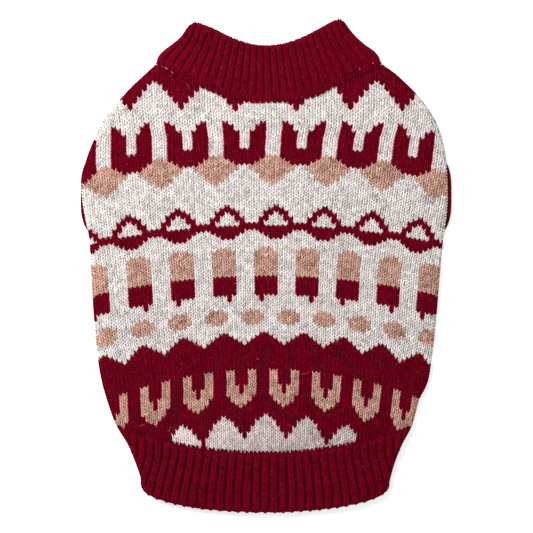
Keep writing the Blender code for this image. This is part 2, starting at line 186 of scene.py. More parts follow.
# How much stitches vary in place, size and tone, and their legs in tone and lean
STITCH_SHIFT = 0.03
STITCH_SIZE = 0.06
STITCH_TONE = 0.8
LEG_TONE = 0.7
LEG_LEAN = 0.02
HOLLOW_SHADE = 4.8        # how much darker the yarn looks where it goes down between others
BOLD_SHADE = 2.4          # the same for crimson yarn, which is fuzzier, for ribs and for purls
RIB_SHADE = 1.5
PURL_SHADE = 9.0
SIDE_SHADE = 0.25         # share of the hollow's shade that the sides of a leg have
OPEN_ALONG = (-0.5, 0.0, 0.55, 0.9, 1.3)  # along a leg, how far it lies open to the light
OPEN_SHARE = (0.0, 0.7, 1.0, 0.8, 0.0)
BLUSH_LIGHTENS = 1.8      # how far a blush does away with that shade, for each unit of it
BLUSH_ENDS = (0.7, 0.3)   # fuzz from above and from below reaches to these places along a leg
BLUSH_BESIDE = 0.7        # share of a blush that comes from beside
BLUSH_STRENGTH = 0.42
LOW_BLUSH = 0.16          # fuzz of the red around tints all of the lowest triangles this far
LOW_PAINTED_SHADE_WALES = (-20, -12, 0, 12, 20)
LOW_PAINTED_SHADES = (-2.0, -0.1, 1.4, 1.9, 1.5)  # painted light and shade: the lowest triangles are lighter on the left, where the light comes from, and darker to the right
STITCH_BED = 0.52         # depth of the bed of the stitches under the fabric's outer surface
GROUND_DEPTH = 0.60       # the ground lies this far under that surface

RANDOM = np.random.default_rng(20)


def blend(a, b, share):
    return a + (b - a) * share


def arc(s):
    return s * s * (1.5 - 0.5 * s * s)


def quarter_round(distance, radius):
    inside = np.clip(distance / radius, 0.0, 1.0)
    return np.sqrt(1 - (1 - inside) ** 2)


def neck_seam(s):
    return NECK_SEAM_CENTRE + NECK_SEAM_RISE * arc(s)


def hem_seam(s):
    return HEM_SEAM_CENTRE + HEM_SEAM_RISE * s * s


def collar_row(s, t):
    tip = np.clip((np.abs(s) - COLLAR_TIP_START) / (1 - COLLAR_TIP_START), 0, 1) ** 2
    edge = COLLAR_EDGE_CENTRE + COLLAR_EDGE_RISE * arc(s)
    left_tip = np.clip((-s - LEFT_TIP_START) / LEFT_TIP_SPAN, 0, 1) ** 1.5
    drop = (COLLAR_TIP_ROUND * tip + LEFT_TIP_DROP * left_tip) * t ** 3
    return blend(neck_seam(s), edge, t) - drop


def hem_row(s, t):
    edge = HEM_CORNER - HEM_EDGE_DROP * np.sqrt(np.clip(1 - s * s, 0, 1))
    return blend(hem_seam(s), edge, t)


def sides(y):
    """Left and right X of the outline at heights y, on the same curve as the solids."""
    y = np.clip(y, OUTLINE_Y[0], OUTLINE_Y[-1])
    i = np.clip(np.searchsorted(OUTLINE_Y, y, side="right") - 1, 0, len(OUTLINE_Y) - 2)
    step = OUTLINE_Y[i + 1] - OUTLINE_Y[i]
    q = (y - OUTLINE_Y[i]) / step
    found = []
    for value, slope in SIDE_CURVES:
        found.append((1 + 2 * q) * (1 - q) ** 2 * value[i] + q * (1 - q) ** 2 * step * slope[i]
                     + q * q * (3 - 2 * q) * value[i + 1] + q * q * (q - 1) * step * slope[i + 1])
    return found


def seam_share(x, y_side):
    """S from -1 to 1 along the seam that meets the outline at height y_side."""
    left, right = sides(np.array(y_side))
    return np.clip(2 * (x - left) / (right - left) - 1, -1, 1)


def neck_seam_at(x):
    return neck_seam(seam_share(x, neck_seam(1.0)))


def hem_seam_at(x):
    return hem_seam(seam_share(x, hem_seam(1.0)))


def measured(x, y):
    """Length along a path up to each of its points."""
    return np.concatenate([[0], np.cumsum(np.hypot(np.diff(x), np.diff(y)))])


def puff(distance):
    q = np.clip(distance, 0, None) / PUFF_REACH
    return q * np.exp(1 - q)


# Soft troughs and ridges of the laid cloth, each along a line
Fold = namedtuple("Fold", "x0 y0 x1 y1 height width")
FOLDS = tuple(Fold(*row) for row in (
    (-66.0, 72.0, -38.0, 46.0, -0.50, 6.5), (-90.0, 28.0, -72.0, -10.0, 0.40, 7.0),
    (28.0, 58.0, 64.0, 79.0, 0.45, 7.5), (70.0, 24.0, 90.0, -18.0, -0.45, 7.0),
    (-34.0, -18.0, 20.0, -32.0, -0.30, 9.0), (-64.0, -80.0, -34.0, -93.0, 0.45, 5.5),
    (8.0, -95.0, 48.0, -88.0, 0.35, 6.0), (50.0, -50.0, 84.0, -68.0, -0.45, 6.0),
    (-12.0, 86.0, 22.0, 83.0, 0.30, 5.0), (-84.0, -52.0, -58.0, -46.0, -0.35, 6.5),
))
FOLD_END = 1.6            # a fold fades this much more slowly at its ends than at its sides
BELLY_SHIFT = 6.0         # the belly has every second fold, mirrored and this much lower
BELLY_SHARE = 0.5
BELLY_FOLDS = tuple(Fold(-f.x0, f.y0 - BELLY_SHIFT, -f.x1, f.y1 - BELLY_SHIFT,
                         -BELLY_SHARE * abs(f.height), f.width) for f in FOLDS[::2])


def fold_height(list_of_folds, x, y):
    """Height that the listed folds add at x, y."""
    total = np.zeros_like(x, dtype=float)
    for fold in list_of_folds:
        along = np.array([fold.x1 - fold.x0, fold.y1 - fold.y0])
        length = np.hypot(*along)
        along = along / length
        run = (x - fold.x0) * along[0] + (y - fold.y0) * along[1]
        off = (x - fold.x0) * -along[1] + (y - fold.y0) * along[0]
        past = np.clip(np.abs(run - length / 2) - length / 2, 0, None)
        total = total + fold.height * np.exp(-(off / fold.width) ** 2
                                             - (past / (FOLD_END * fold.width)) ** 2)
    return total


def back_height(x, y):
    """Height of the back panel's outer surface."""
    left, right = sides(y)
    rounded = quarter_round(np.minimum(x - left, right - x), SIDE_FOLD)
    swell = HEM_PUFF * puff(y - hem_seam_at(x)) + NECK_PUFF * puff(neck_seam_at(x) - y)
    return EDGE_TOP + (BACK_TOP + swell + fold_height(FOLDS, x, y) - EDGE_TOP) * rounded


def gauge_at(y):
    """Centre line, pitch, squeeze and left stretch of the wales at heights y."""
    return [np.interp(y, GAUGE[0], column) for column in GAUGE[1:]]


def sag_at(level, x):
    """How far a row that crosses the centre line at that level has dropped at x."""
    share = (x / SAG_HALF_WIDTH) ** 2
    levels, drop, edge = SAG
    return np.interp(level, levels, drop) * share + np.interp(level, levels, edge) * share ** 3


PLAN_STEPS = 4            # places that depend on each other settle within these many steps
LEVEL_STEPS = 8
SETTLE_STEPS = 6


def wale_x(wale, centre, pitch, squeeze, left_stretch):
    stretch = left_stretch * (np.minimum(wale, 0) / STRETCH_WALE) ** 2
    return centre + pitch * wale * (1 - squeeze * wale * wale) - stretch


def knit_plan(wale, row):
    """X and Y of the lattice point at that wale and row; rows count downwards."""
    level = FIRST_ROW_Y - ROW_PITCH * row
    y = level
    for _ in range(PLAN_STEPS):
        x = wale_x(wale, *gauge_at(y))
        y = level - sag_at(level, x)
    return x, y


def knit_cell(x, y):
    """The wale and row of a point of the body."""
    level = y
    for _ in range(LEVEL_STEPS):
        level = y + sag_at(level, x)
    gauge = gauge_at(y)
    pitch = gauge[1]
    wale = (x - gauge[0]) / pitch
    for _ in range(SETTLE_STEPS):
        wale = wale + (x - wale_x(wale, *gauge)) / pitch
    return wale, (FIRST_ROW_Y - level) / ROW_PITCH


def make_chart():
    """Yarn of every stitch, by row and wale."""
    rows = np.arange(CHART_TOP, CHART_TOP + CHART_ROWS)[:, None]
    wales = np.arange(CHART_LEFT, CHART_LEFT + CHART_WALES)[None, :]
    beside = np.abs(wales - np.array(YOKE_POINTS)[:, None]).min(axis=0)[None, :]
    first_white = np.maximum(YOKE_POINT_ROW - YOKE_SLOPE * beside, YOKE_PEAK_ROW)
    for wale, row in YOKE_FLANK:
        first_white[:, wale - CHART_LEFT] = row
    chart = np.where(rows < first_white, CRIMSON, WHITE)
    for band in BANDS:
        for i, text in enumerate(band.rows):
            codes = np.array([YARN_CODES[letter] for letter in text])
            repeat = (wales[0] - band.first_wale) % len(codes)
            chart[band.first_row + i - CHART_TOP] = codes[repeat]
    low = rows[:, 0] >= TRIANGLE_ROW
    chart[np.ix_(low, np.abs(wales[0]) > TRIANGLE_WALES)] = CRIMSON
    chart[low, TRIANGLE_GAP_WALE - CHART_LEFT] = CRIMSON
    return chart


CHART = make_chart()


def yarn_at(wale, row):
    i = np.clip(np.floor(row).astype(int) - CHART_TOP, 0, CHART_ROWS - 1)
    j = np.clip(np.round(wale).astype(int) - CHART_LEFT, 0, CHART_WALES - 1)
    return CHART[i, j]


# Along each seam two crimson rows of the body's gauge join the ribs to the body. Their middle
# runs this far above the seam at these shares of its half width, from left to right
Join = namedtuple("Join", "seam_at start_y shares offsets lift")
JOIN_ROWS = 2
JOIN_WALES = 38
LINK = Join(neck_seam_at, NECK_SEAM_CENTRE,
            shares=(-1.0, -0.6, -0.4, -0.2, 0.0, 0.17, 0.32, 0.42, 0.6, 1.0),
            offsets=(0.0, 0.1, -0.1, 0.2, 1.5, 0.7, -0.4, 0.45, 1.5, 0.5), lift=0.30)
FOOT = Join(hem_seam_at, HEM_SEAM_CENTRE, shares=(-1.0, 1.0), offsets=(-0.95, -0.95), lift=0.10)
UNDER_JOIN = 0.5          # the body is crimson from this far inside the joining rows
HEM_CRIMSON = 0.4         # and this close to the hem seam


def join_middle(join, x):
    """Height of the middle of the joining rows over x."""
    seam = join.seam_at(x)
    left, right = sides(seam)
    return seam + np.interp(2 * (x - left) / (right - left) - 1, join.shares, join.offsets)


def by_neck(x, y, reach=0.0):
    """Whether a point of the body lies under the joining rows of the neck."""
    return y > join_middle(LINK, x) - ROW_PITCH * JOIN_ROWS / 2 + UNDER_JOIN - reach


def body_yarn(x, y, reach=0.0):
    """Yarn of the body at x, y, with crimson along the neck and hem seams."""
    by_seam = by_neck(x, y, reach) | (y - hem_seam_at(x) < HEM_CRIMSON + reach)
    return np.where(by_seam, CRIMSON, yarn_at(*knit_cell(x, y)))


# --- meshes

def make_object(name, points, face_groups, material):
    """An object from points in mm; each group of faces is an array with one row a face."""
    mesh = bpy.data.meshes.new(name)
    sizes = np.concatenate([np.full(len(group), np.shape(group)[1]) for group in face_groups])
    corners = np.concatenate([np.asarray(group, dtype=np.int32).ravel() for group in face_groups])
    mesh.vertices.add(len(points))
    mesh.vertices.foreach_set("co", (np.asarray(points, dtype=np.float64) * MM).ravel())
    mesh.loops.add(len(corners))
    mesh.loops.foreach_set("vertex_index", corners)
    mesh.polygons.add(len(sizes))
    starts = np.concatenate([[0], np.cumsum(sizes)[:-1]]).astype(np.int32)
    mesh.polygons.foreach_set("loop_start", starts)
    mesh.update(calc_edges=True)
    mesh.shade_smooth()
    mesh.validate()
    item = bpy.data.objects.new(name, mesh)
    bpy.context.scene.collection.objects.link(item)
    mesh.materials.append(material)
    return item


def set_values(item, name, values):
    """Stores a value for each point, which a yarn material reads."""
    layer = item.data.attributes.new(name, "FLOAT", "POINT")
    layer.data.foreach_set("value", np.asarray(values, dtype=np.float32))


FRAME_STEP = 0.04


def surface_frame(surface, a, b):
    """Points of a surface, the direction along a, mm for each unit of a, and the normal."""
    along_a = surface(a + FRAME_STEP, b) - surface(a - FRAME_STEP, b)
    along_b = surface(a, b + FRAME_STEP) - surface(a, b - FRAME_STEP)
    length = np.linalg.norm(along_a, axis=-1, keepdims=True) + 1e-9
    normal = np.cross(along_b, along_a)
    normal /= np.linalg.norm(normal, axis=-1, keepdims=True) + 1e-9
    return surface(a, b), along_a / length, length / (2 * FRAME_STEP), normal


def strand_faces(count, rings, around, closed=False):
    """Quads of count strands, each of some rings with some points around."""
    spans = around if closed else around - 1
    ring, point = np.meshgrid(np.arange(rings - 1), np.arange(spans), indexing="ij")
    first = (ring * around + point).ravel()
    beside = (ring * around + (point + 1) % around).ravel()
    quad = np.stack([first, beside, beside + around, first + around], axis=1)
    return (quad[None] + (np.arange(count) * rings * around)[:, None, None]).reshape(-1, 4)


Knit = namedtuple("Knit", "points faces shade blush")


def knit(surface, wales, rows, leg=LEG, spread=1.0, rise=1.0, around=4, facing=1, blush=None,
         hollow_shade=HOLLOW_SHADE, darker=0.0):
    """The two legs of every stitch at the wales and rows given, on a surface of wale and row.

    blush gives, for each stitch, how far crimson fuzz tints its left, right, upper and lower end.
    """
    count = len(wales)
    along, spreads, half_widths, tops = leg
    shift_a, shift_b = RANDOM.normal(0, STITCH_SHIFT, (2, count, 1))
    size = 1 + RANDOM.normal(0, STITCH_SIZE, (count, 1))
    tone = RANDOM.normal(0, STITCH_TONE, count) - darker
    angle = np.linspace(-0.5, 0.5, around) * math.pi
    is_open = np.interp(along, OPEN_ALONG, OPEN_SHARE)
    upper = np.clip(BLUSH_ENDS[0] - along, 0, 1)[None]
    lower = np.clip(along - BLUSH_ENDS[1], 0, 1)[None]
    points, shades, tints = [], [], []
    for side in (-1, 1):
        lean = RANDOM.normal(0, LEG_LEAN, (count, 1))
        reach = along[None]
        if blush is not None:
            over_crimson = (blush[:, 3] > LOW_BLUSH)[:, None]
            reach = reach - TIP_TUCK * over_crimson * np.clip(along, 0, 1)[None]
        a = wales[:, None] + shift_a + spread * (side * spreads[None] + lean * (1 - along[None]))
        b = rows[:, None] + shift_b + reach
        here, across, unit, normal = surface_frame(surface, a, b)
        half = (half_widths[None] * spread * size)[..., None] * unit
        height = rise * (tops[None] * size - LEG_BASE).clip(LEG_LEAST)
        sideways = np.sin(angle)[:, None] * half[:, :, None] * across[:, :, None]
        outward = (np.cos(angle) * height[..., None] + rise * LEG_BASE)[..., None]
        outward = outward * normal[:, :, None]
        points.append((here[:, :, None] + sideways + facing * outward).reshape(-1, 3))
        shade = (tone + RANDOM.normal(0, LEG_TONE, count))[:, None, None]
        lit = blend(1, np.cos(angle), SIDE_SHADE)[None, :] * is_open[:, None]
        hollow = hollow_shade * (1 - lit)
        tint = np.zeros((count, len(along), 1))
        if blush is not None:
            beside = blush[:, 0 if side < 0 else 1][:, None] * BLUSH_BESIDE
            at_ends = np.maximum(blush[:, 2][:, None] * upper, blush[:, 3][:, None] * lower)
            tint = np.maximum(beside, at_ends)[..., None]
        tints.append(np.repeat(tint, around, axis=2).ravel())
        shades.append((shade - hollow[None] * (1 - np.clip(BLUSH_LIGHTENS * tint, 0, 1))).ravel())
    faces = strand_faces(2 * count, len(along), around)
    if facing < 0:
        faces = faces[:, ::-1]
    return Knit(np.concatenate(points), faces, np.concatenate(shades), np.concatenate(tints))


def add_knit(name, parts, material):
    """One object from several results of knit."""
    starts = np.cumsum([0] + [len(part.points) for part in parts[:-1]])
    faces = np.concatenate([part.faces + start for part, start in zip(parts, starts)])
    item = make_object(name, np.concatenate([part.points for part in parts]), [faces], material)
    set_values(item, "shade", np.concatenate([part.shade for part in parts]))
    set_values(item, "blush", np.concatenate([part.blush for part in parts]))
    return item


# --- materials

def linear(rgb):
    """Linear colour from 8-bit sRGB."""
    values = [v / 255 for v in rgb]
    return tuple(v / 12.92 if v <= 0.04045 else ((v + 0.055) / 1.055) ** 2.4
                 for v in values) + (1.0,)


def set_node(nodes, kind, operation=None, **values):
    """A shader node. Values set its inputs by name, or by number after an underscore."""
    node = nodes.new(kind)
    if operation:
        node.operation = operation
    for key, value in values.items():
        socket = int(key[1:]) if key[0] == "_" else key.replace("_", " ")
        node.inputs[socket].default_value = value
    return node


def read_values(nodes, name):
    """A node that reads the values which set_values stored under that name."""
    node = nodes.new("ShaderNodeAttribute")
    node.attribute_name = name
    return node.outputs["Fac"]


def mix_colours(nodes):
    node = nodes.new("ShaderNodeMix")
    node.data_type = "RGBA"
    return node


BLUSH_TINT = (206, 112, 126)


def yarn_material(name, light, dark, sheen=0.0, blushes=False, grain=1.1, base=0.13):
    """Brushed woollen yarn: fine fibres and patches, stitches a little lighter or darker at random,
    and painted shade from the shade values where the yarn goes down between others.
    """
    material = bpy.data.materials.new(name)
    material.use_nodes = True
    nodes = material.node_tree.nodes
    shader = nodes["Principled BSDF"]
    for socket, value in (("Roughness", 0.95), ("Specular IOR Level", 0.03),
                          ("Sheen Weight", sheen), ("Sheen Roughness", 0.5)):
        shader.inputs[socket].default_value = value
    place = nodes.new("ShaderNodeTexCoord").outputs["Object"]
    stretch = set_node(nodes, "ShaderNodeMapping", Scale=(1.0, 0.9, 1.0))
    fibres = set_node(nodes, "ShaderNodeTexNoise", Scale=1400.0, Detail=3.0, Roughness=0.65)
    patches = set_node(nodes, "ShaderNodeTexNoise", Scale=110.0, Detail=2.0)
    by_stitch = set_node(nodes, "ShaderNodeMath", "MULTIPLY_ADD", _1=0.11, _2=base)
    by_fibre = set_node(nodes, "ShaderNodeMath", "MULTIPLY_ADD", _1=grain)
    by_patch = set_node(nodes, "ShaderNodeMath", "MULTIPLY_ADD", _1=0.28)
    mix = mix_colours(nodes)
    mix.inputs["A"].default_value = linear(dark)
    mix.inputs["B"].default_value = linear(light)
    bump = set_node(nodes, "ShaderNodeBump", Strength=0.6, Distance=0.0002)
    pairs = [(place, stretch.inputs["Vector"]),
             (stretch.outputs["Vector"], fibres.inputs["Vector"]),
             (place, patches.inputs["Vector"]),
             (read_values(nodes, "shade"), by_stitch.inputs[0]),
             (fibres.outputs["Fac"], by_fibre.inputs[0]),
             (by_stitch.outputs["Value"], by_fibre.inputs[2]),
             (patches.outputs["Fac"], by_patch.inputs[0]),
             (by_fibre.outputs["Value"], by_patch.inputs[2]),
             (by_patch.outputs["Value"], mix.inputs["Factor"]),
             (fibres.outputs["Fac"], bump.inputs["Height"]),
             (bump.outputs["Normal"], shader.inputs["Normal"])]
    colour = mix.outputs["Result"]
    if blushes:
        tint = mix_colours(nodes)
        tint.inputs["B"].default_value = linear(BLUSH_TINT)
        pairs += [(colour, tint.inputs["A"]), (read_values(nodes, "blush"), tint.inputs["Factor"])]
        colour = tint.outputs["Result"]
    for output, socket in pairs + [(colour, shader.inputs["Base Color"])]:
        material.node_tree.links.new(output, socket)
    return material


white_yarn = yarn_material("off_white_yarn", (238, 232, 229), (122, 112, 110), sheen=0.05,
                           blushes=True, grain=1.8, base=-0.25)
crimson_yarn = yarn_material("crimson_yarn", (113, 2, 27), (60, 0, 8), grain=1.6, base=-0.25)
crimson_fuzz = yarn_material("crimson_fuzz", (196, 66, 90), (140, 18, 44))
pale_hair = yarn_material("pale_hair", (226, 140, 150), (190, 96, 108))
beige_yarn = yarn_material("beige_yarn", (232, 188, 170), (108, 74, 60), sheen=0.05,
                           blushes=True, grain=2.2, base=-0.62)
# The grounds are darker than their yarns: painted shade for the cloth that shows down between the
# stitches.
white_ground_shade = yarn_material("off_white_ground", (120, 112, 110), (84, 78, 76))
crimson_ground = yarn_material("crimson_ground", (92, 1, 18), (70, 0, 11))
beige_ground = yarn_material("beige_ground", (120, 84, 72), (92, 60, 50))
YARNS = (white_yarn, crimson_yarn, beige_yarn)
YARN_NAMES = ("white", "crimson", "beige")
GROUND_SHADES = (white_ground_shade, crimson_ground, beige_ground)


def finish_piece(item, slot, *nodes):
    """Says what a piece rides on and hides the nodes that it stands for; slot is not used."""
    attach(item, "root")
    if nodes:
        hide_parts(*nodes)
    return item


def finish_knit(name, parts, yarn=CRIMSON):
    return finish_piece(add_knit(name, parts, YARNS[yarn]), f"{YARN_NAMES[yarn]}_yarn")


def layer_knit(surface, wales, rows, upper, leg, **options):
    """Stitches on the side that shows, or plainer ones that face down."""
    if upper:
        return knit(surface, wales, rows, leg, **options)
    options.update(around=3, facing=-1)
    return knit(surface, wales, rows, COARSE_LEG, **options)


def grid_faces(columns, rows):
    """Quads of a grid of points, and the points along its border in order."""
    row, column = np.meshgrid(np.arange(rows - 1), np.arange(columns - 1), indexing="ij")
    first = (row * columns + column).ravel()
    quads = np.stack([first, first + 1, first + columns + 1, first + columns], axis=1)
    border = np.concatenate([np.arange(columns), np.arange(1, rows) * columns + columns - 1,
                             (rows - 1) * columns + np.arange(columns - 2, -1, -1),
                             np.arange(rows - 2, 0, -1) * columns])
    return quads, border


# --- body

GROUND_SPANS = 144
BACK_CROWD = 0.5          # share by which the ground's columns crowd towards the sides
GROUND_REACH = 0.9        # the ground is crimson this much farther from the seams


def body_plan(s, v):
    y = blend(neck_seam(s) - SEAM_GAP, hem_seam(s) + SEAM_GAP, v)
    left, right = sides(blend(neck_seam(1.0) - SEAM_GAP, hem_seam(1.0) + SEAM_GAP, v))
    return blend(left, right, (s + 1) / 2), y


def make_back_ground():
    """The back's ground: a shell on the form of the back panel, coloured like the stitches but
    darker, as painted shade where it shows between them.
    """
    points = GROUND_SPANS + 1
    eased = np.sin(np.linspace(-0.5, 0.5, points) * math.pi)
    s, v = np.meshgrid(blend(np.linspace(-1, 1, points), eased, BACK_CROWD),
                       np.linspace(0, 1, points))
    x, y = body_plan(s, v)
    top = np.stack([x, y, back_height(x, y) - GROUND_DEPTH], axis=-1).reshape(-1, 3)
    quads, border = grid_faces(points, points)
    quads = quads[:, (0, 3, 2, 1)]
    below = top[border]
    below[:, 2] = WALL + SEAM_GAP
    under = len(top) + np.arange(len(border))
    walls = np.stack([border, np.roll(border, -1), np.roll(under, -1), under], axis=1)
    item = make_object("back_ground", np.concatenate([top, below]), [quads, walls, under[None]],
                       white_ground_shade)
    for material in GROUND_SHADES[1:]:
        item.data.materials.append(material)
    codes = body_yarn(x.ravel()[quads].mean(axis=1), y.ravel()[quads].mean(axis=1), GROUND_REACH)
    codes = np.concatenate([codes, np.full(len(walls), CRIMSON), [WHITE]])
    item.data.polygons.foreach_set("material_index", codes.astype(np.int32))
    return finish_piece(item, "white_yarn", "back_panel")


def back_surface(wale, row):
    x, y = knit_plan(wale, row)
    return np.stack([x, y, back_height(x, y) - STITCH_BED], axis=-1)


SIDE_MARGIN = 1.3         # stitches of the lattice stop this far inside the outline
STITCH_REACH = 1.2        # they reach this far above and below their middles
SEAM_MARGIN = 0.4         # and their middles stay this far inside the seams
WALE_REACH = 46           # no wale of the body lies farther from the centre line
LAST_ROW = 124


def within_sides(x, y):
    """Whether a stitch with its middle at x, y lies inside the outline as a whole."""
    inside = np.ones(np.shape(x), bool)
    for level in (y - STITCH_REACH, y, y + STITCH_REACH):
        left, right = sides(level)
        inside &= (x > left + SIDE_MARGIN) & (x < right - SIDE_MARGIN)
    return inside


def body_stitches():
    """Wales and rows of every stitch of the body that lies inside its edges."""
    wale, row = np.meshgrid(np.arange(-WALE_REACH, WALE_REACH + 1),
                            np.arange(CHART_TOP, LAST_ROW + 1))
    wale = wale.ravel().astype(float)
    row = row.ravel().astype(float)
    x, y = knit_plan(wale, row + 0.5)
    inside = (y < neck_seam_at(x) - SEAM_MARGIN) & (y > hem_seam_at(x) + SEAM_MARGIN)
    inside &= within_sides(x, y)
    return wale[inside], row[inside]


def crimson_neighbours(wale, row):
    """How far crimson fuzz reaches each stitch from the left, the right, above and below."""
    row = row + 0.5
    near = [yarn_at(wale + across, row + down) == CRIMSON
            for across, down in ((-1, 0), (1, 0), (0, -1), (0, 1))]
    low = LOW_BLUSH * (row >= TRIANGLE_ROW)[:, None]
    return np.maximum(BLUSH_STRENGTH * np.stack(near, axis=1), low)


SPLIT_ROW = 43            # the stitches of one yarn are two pieces, above and below this row


def make_back_stitches():
    wale, row = body_stitches()
    x, y = knit_plan(wale, row + 0.5)
    code = np.where(by_neck(x, y), CRIMSON, yarn_at(wale, row + 0.5))
    upper = row < SPLIT_ROW
    parts = [(f"back_{YARN_NAMES[yarn]}_{half}", yarn, (code == yarn) & in_half)
             for yarn in (WHITE, CRIMSON)
             for half, in_half in (("upper", upper), ("lower", ~upper))]
    made = []
    for name, yarn, chosen in parts + [("back_beige", BEIGE, code == BEIGE)]:
        wales = wale[chosen]
        rows = row[chosen]
        if yarn == CRIMSON:
            part = knit(back_surface, wales, rows, BOLD_LEG, hollow_shade=BOLD_SHADE)
        else:
            # painted light and shade on the lowest triangles: lighter on the left, darker to the
            # right
            darker = np.interp(wales, LOW_PAINTED_SHADE_WALES, LOW_PAINTED_SHADES) * (rows >= TRIANGLE_ROW)
            part = knit(back_surface, wales, rows, blush=crimson_neighbours(wales, rows),
                        darker=darker)
        made.append(finish_knit(name, [part], yarn))
    return made


def in_cuff(x, y, margin):
    """Whether a point lies within a leg hole's cuff, or within margin of it."""
    across = np.abs(np.abs(x) - CUFF_X) / (CUFF_HALF_WIDTH + margin)
    along = np.abs(y - CUFF_Y) / (CUFF_HALF_LENGTH + margin)
    return across ** CUFF_SQUARENESS + along ** CUFF_SQUARENESS < 1


# The side folds: wales that run along the outline, over the rounded edge and down the wall
SIDE_WALE = 2.5           # width of a wale of the side folds
SIDE_START = 1.9          # the wales are counted from this far inside the outline
SIDE_INSET = 0.45         # the bed of the stitches lies this far inside the outline
SIDE_CURVE_STEPS = 400
SIDE_COLUMNS = (-0.3, 0.5, 1.35)          # middles of the wales; the first only fills gaps
SIDE_COLOUR = 1.5         # their colours are those of the rows this far inside the outline
SIDE_SHORT = 0.5          # the path along a side stops this far short of both seams
CUFF_CLEARANCE = 0.5


def side_path(sign):
    """X and Y of points along one side, with their distance from the neck."""
    y = np.linspace(neck_seam(1.0) - SIDE_SHORT, hem_seam(1.0) + SIDE_SHORT, SIDE_CURVE_STEPS)
    x = sides(y)[0 if sign < 0 else 1]
    return x, y, measured(x, y)


def make_side_folds():
    """Stitches over both side folds, in the colours of the rows that meet them."""
    parts = {WHITE: [], CRIMSON: [], BEIGE: []}
    for sign in (-1, 1):
        path_x, path_y, length = side_path(sign)

        def surface(a, b, sign=sign, path_x=path_x, path_y=path_y, length=length):
            run = np.clip(b * ROW_PITCH, 0, length[-1])
            x = np.interp(run, length, path_x)
            y = np.interp(run, length, path_y)
            over = sign * a * SIDE_WALE
            inset = np.clip(SIDE_START - over, 0, None)
            down = np.clip(over - SIDE_START, 0, None)
            z = back_height(x - sign * inset, y) - STITCH_BED - down
            soft = SIDE_INSET + inset
            return np.stack([x - sign * soft, y, z], axis=-1)

        count = int(length[-1] / ROW_PITCH)
        rows = np.arange(count).astype(float)
        run = (rows + 0.5) * ROW_PITCH
        x = np.interp(run, length, path_x)
        y = np.interp(run, length, path_y)
        code = yarn_at(*knit_cell(x - sign * SIDE_COLOUR, y))
        for column in SIDE_COLUMNS:
            clear = np.ones(count, bool)
            if column > 1:
                clear = ~in_cuff(x, y, CUFF_CLEARANCE)
            if column < 0:
                inset = SIDE_START - column * SIDE_WALE
                wale, row = knit_cell(x - sign * inset, y)
                clear = ~within_sides(*knit_plan(np.round(wale), np.floor(row) + 0.5))
            for yarn in parts:
                chosen = (code == yarn) & clear
                if chosen.any():
                    wales = np.full(chosen.sum(), sign * column)
                    parts[yarn].append(knit(surface, wales, rows[chosen]))
    return [finish_knit(f"side_{YARN_NAMES[yarn]}", found, yarn) for yarn, found in parts.items()]


# --- belly

BELLY_BED = 0.72          # height of the belly's stitch bed over what it rests on
BELLY_MARGIN = 1.4
BELLY_WHITE_ROWS = (-10, 75)      # rows of the belly between its crimson ends
ZONE_SPANS = (90, 12)
ZONE_INSET = 2.6
ZONE_THICK = 0.06
ZONE_COVER = 0.3          # the zone's upper side lies this far inside the belly's ground
ZONE_WALES = 50
ZONE_START = 70.0


def belly_surface(wale, row):
    x, y = knit_plan(wale, row)
    return np.stack([x, y, BELLY_BED - fold_height(BELLY_FOLDS, x, y)], axis=-1)


def make_belly_stitches():
    """Plain rows in the ground colours of the back, knitted side down."""
    wale, row = body_stitches()
    x, y = knit_plan(wale, row + 0.5)
    left, right = sides(y)
    margin = BELLY_INSET + BELLY_MARGIN
    inside = (x > left + margin) & (x < right - margin) & ~in_cuff(x, y, BELLY_MARGIN)
    wale = wale[inside]
    row = row[inside]
    white = (row >= BELLY_WHITE_ROWS[0]) & (row < BELLY_WHITE_ROWS[1])
    made = []
    for name, yarn, chosen in (("belly_white", WHITE, white), ("belly_crimson", CRIMSON, ~white)):
        part = knit(belly_surface, wale[chosen], row[chosen], COARSE_LEG, around=3, facing=-1)
        made.append(finish_knit(name, [part], yarn))
    return made


def make_belly_zone(name, row, seam_at):
    """A thin layer in crimson under the belly's ground, from the lattice row to the seam."""
    wales = np.arange(-ZONE_WALES, ZONE_WALES + 1).astype(float)
    row_x, row_y = knit_plan(wales, np.full(len(wales), float(row)))
    across, down = ZONE_SPANS
    s, q = np.meshgrid(np.linspace(-1, 1, across + 1), np.linspace(0, 1, down + 1))
    x = ZONE_START * s
    for _ in range(SETTLE_STEPS):
        y = blend(np.interp(x, row_x, row_y), seam_at(x), q)
        left, right = sides(y)
        x = blend(left + ZONE_INSET, right - ZONE_INSET, (s + 1) / 2)
    layers = [np.stack([x, y, np.full_like(x, z)], axis=-1).reshape(-1, 3)
              for z in (BELLY_BED - ZONE_THICK, BELLY_BED + ZONE_COVER)]
    quads, border = grid_faces(across + 1, down + 1)
    above = border + len(layers[0])
    walls = np.stack([border, above, np.roll(above, -1), np.roll(border, -1)], axis=1)
    if y[0, across // 2] < y[-1, across // 2]:
        quads = quads[:, ::-1]
        walls = walls[:, ::-1]
    item = make_object(name, np.concatenate(layers),
                       [quads, quads[:, ::-1] + len(layers[0]), walls], crimson_ground)
    return finish_piece(item, "crimson_yarn")


WELD_DISTANCE = 1e-6      # metres


def copied_ground(name, node, low, high, material):
    """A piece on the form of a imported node, with its height brought in to low and high."""
    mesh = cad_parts[node].data.copy()
    mesh.name = name
    mesh.materials.clear()
    mesh.materials.append(material)
    solid = bmesh.new()
    solid.from_mesh(mesh)
    bmesh.ops.remove_doubles(solid, verts=solid.verts, dist=WELD_DISTANCE)
    heights = [vertex.co.z for vertex in solid.verts]
    bottom = min(heights)
    scale = (high - low) * MM / (max(heights) - bottom)
    for vertex in solid.verts:
        vertex.co.z = low * MM + (vertex.co.z - bottom) * scale
    solid.to_mesh(mesh)
    solid.free()
    item = bpy.data.objects.new(name, mesh)
    bpy.context.scene.collection.objects.link(item)
    return item


# --- collar and hem

